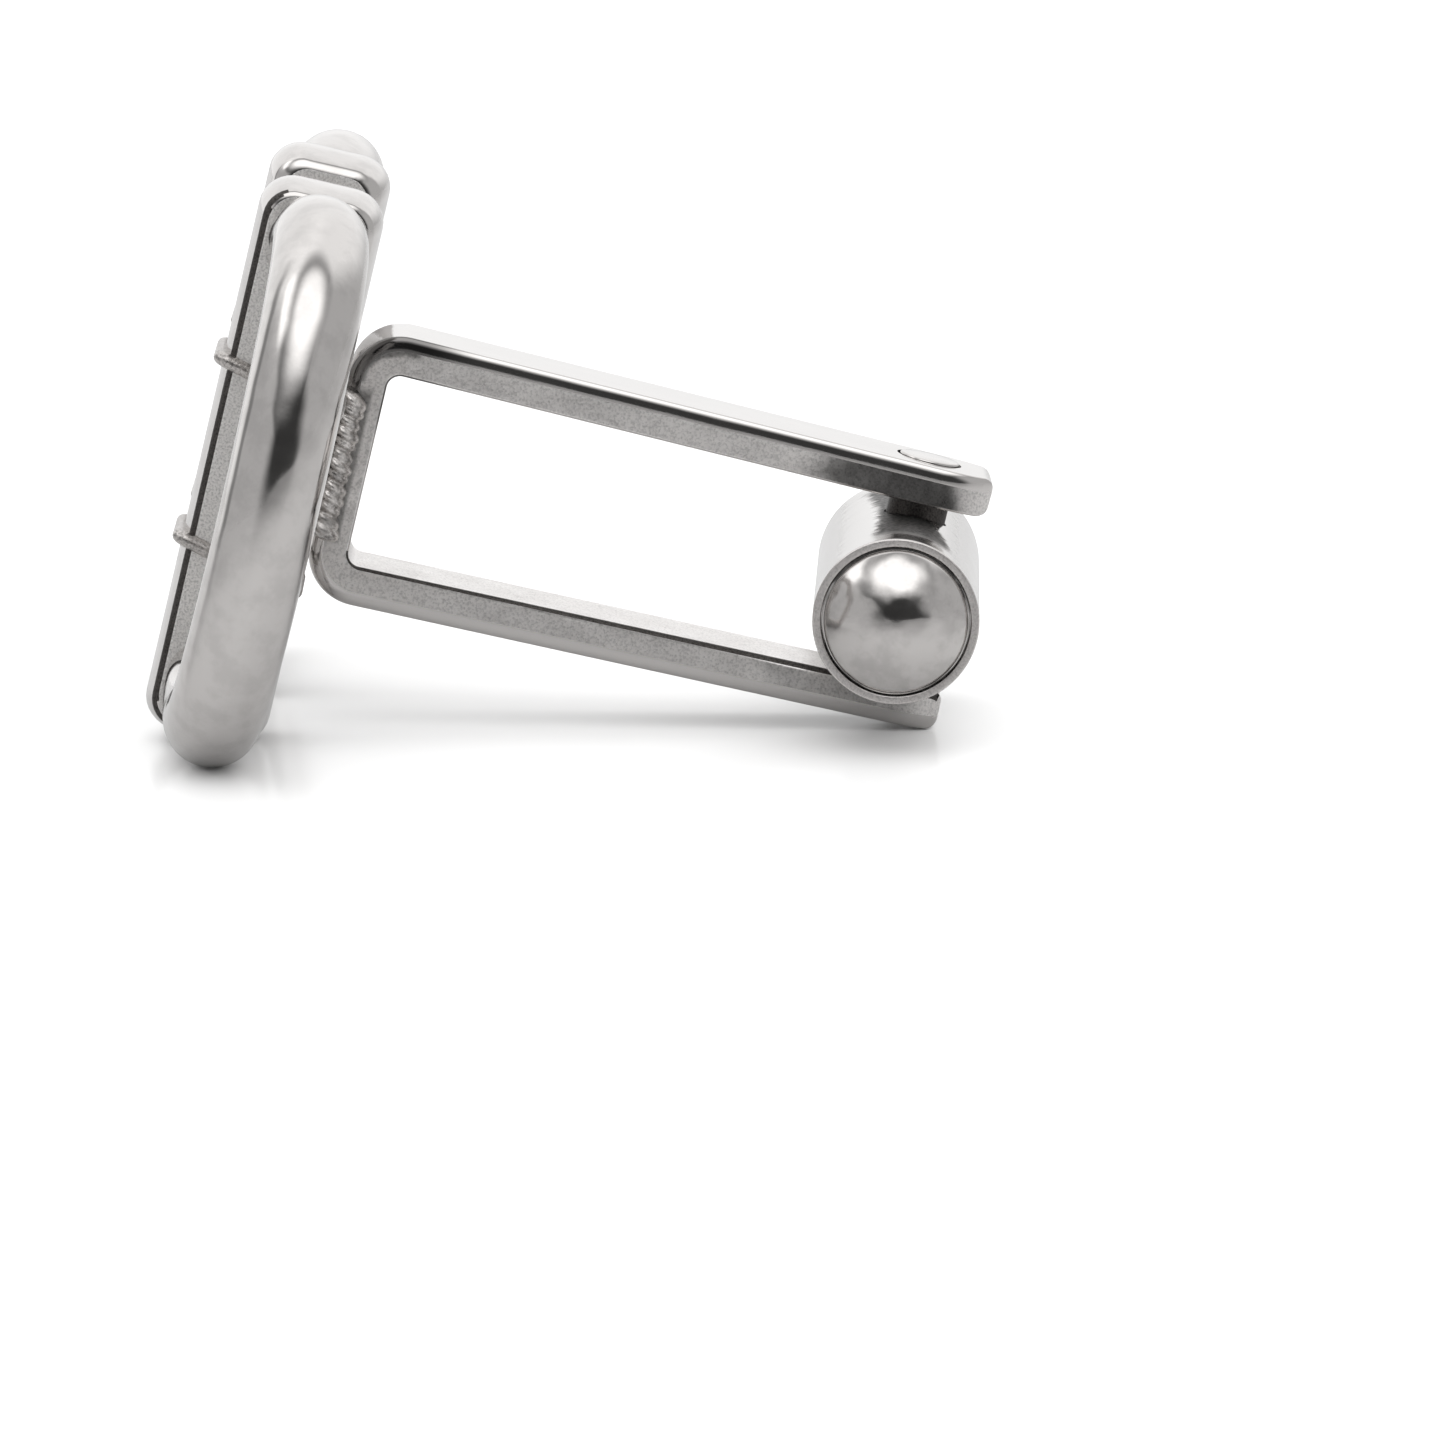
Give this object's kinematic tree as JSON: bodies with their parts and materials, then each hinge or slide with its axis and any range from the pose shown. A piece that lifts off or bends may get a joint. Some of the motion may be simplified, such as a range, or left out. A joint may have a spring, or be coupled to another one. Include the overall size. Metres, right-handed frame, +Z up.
{
  "type": "horse bit cufflink",
  "caption": "Horse bit cufflink: D rings on upright bars joined by a mouthpiece, with a U-shaped swivel frame behind and a domed toggle that turns on a pin.",
  "frame": {"origin": "on the table, under the middle of the outer box", "axes": "+X from the horse bit head along the stem to the toggle, +Y across the head towards the far ring, +Z up; the cufflink rests on its two rings and the end of its lower arm"},
  "size_m": [0.025, 0.0296, 0.0167],
  "materials": {
    "polished_steel": "polished stainless steel, with satin blanked sides",
    "pin_steel": "polished stainless steel",
    "toggle_steel": "polished stainless steel with a satin turned rim",
    "cap_steel": "polished stainless steel"
  },
  "bodies": {
    "head": {"head_and_frame": "polished_steel", "pivot_pin": "pin_steel"},
    "toggle": {"toggle_barrel": "toggle_steel", "near_cap": "cap_steel", "far_cap": "cap_steel"}
  },
  "joints": [
    {"name": "toggle_turn", "type": "hinge", "parent": "head", "child": "toggle", "pos_m": [0.00972, 0, 0.00417], "axis": [0.2166, 0, 0.9763], "range_deg": [-88, 92]}
  ]
}
